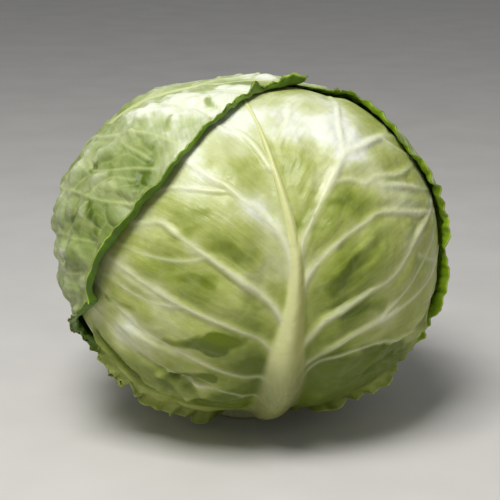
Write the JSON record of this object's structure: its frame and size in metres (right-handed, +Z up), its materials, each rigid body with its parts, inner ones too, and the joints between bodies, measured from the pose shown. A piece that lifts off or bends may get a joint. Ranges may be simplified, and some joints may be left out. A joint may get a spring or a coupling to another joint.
{
  "type": "head of white cabbage",
  "caption": "Round head of white cabbage with overlapping ribbed leaves and wavy edges, standing on its short cut stem.",
  "frame": {"origin": "middle of the flat cut face of the stem, which rests on the surface", "axes": "+Z up, from the stem through the head; the leaf with the broad midrib in the picture faces -Y"},
  "size_m": [0.1885, 0.182, 0.1707],
  "materials": {
    "stem": "matte",
    "inner_leaf": "satin",
    "head_leaf": "satin",
    "wrapper_leaf": "satin"
  },
  "bodies": {
    "root": {"stem": "stem", "heart": "inner_leaf", "leaf_inner_left": "inner_leaf", "leaf_inner_right": "inner_leaf", "leaf_rear": "head_leaf", "leaf_front": "head_leaf", "leaf_right": "wrapper_leaf", "leaf_left": "wrapper_leaf"}
  },
  "joints": []
}
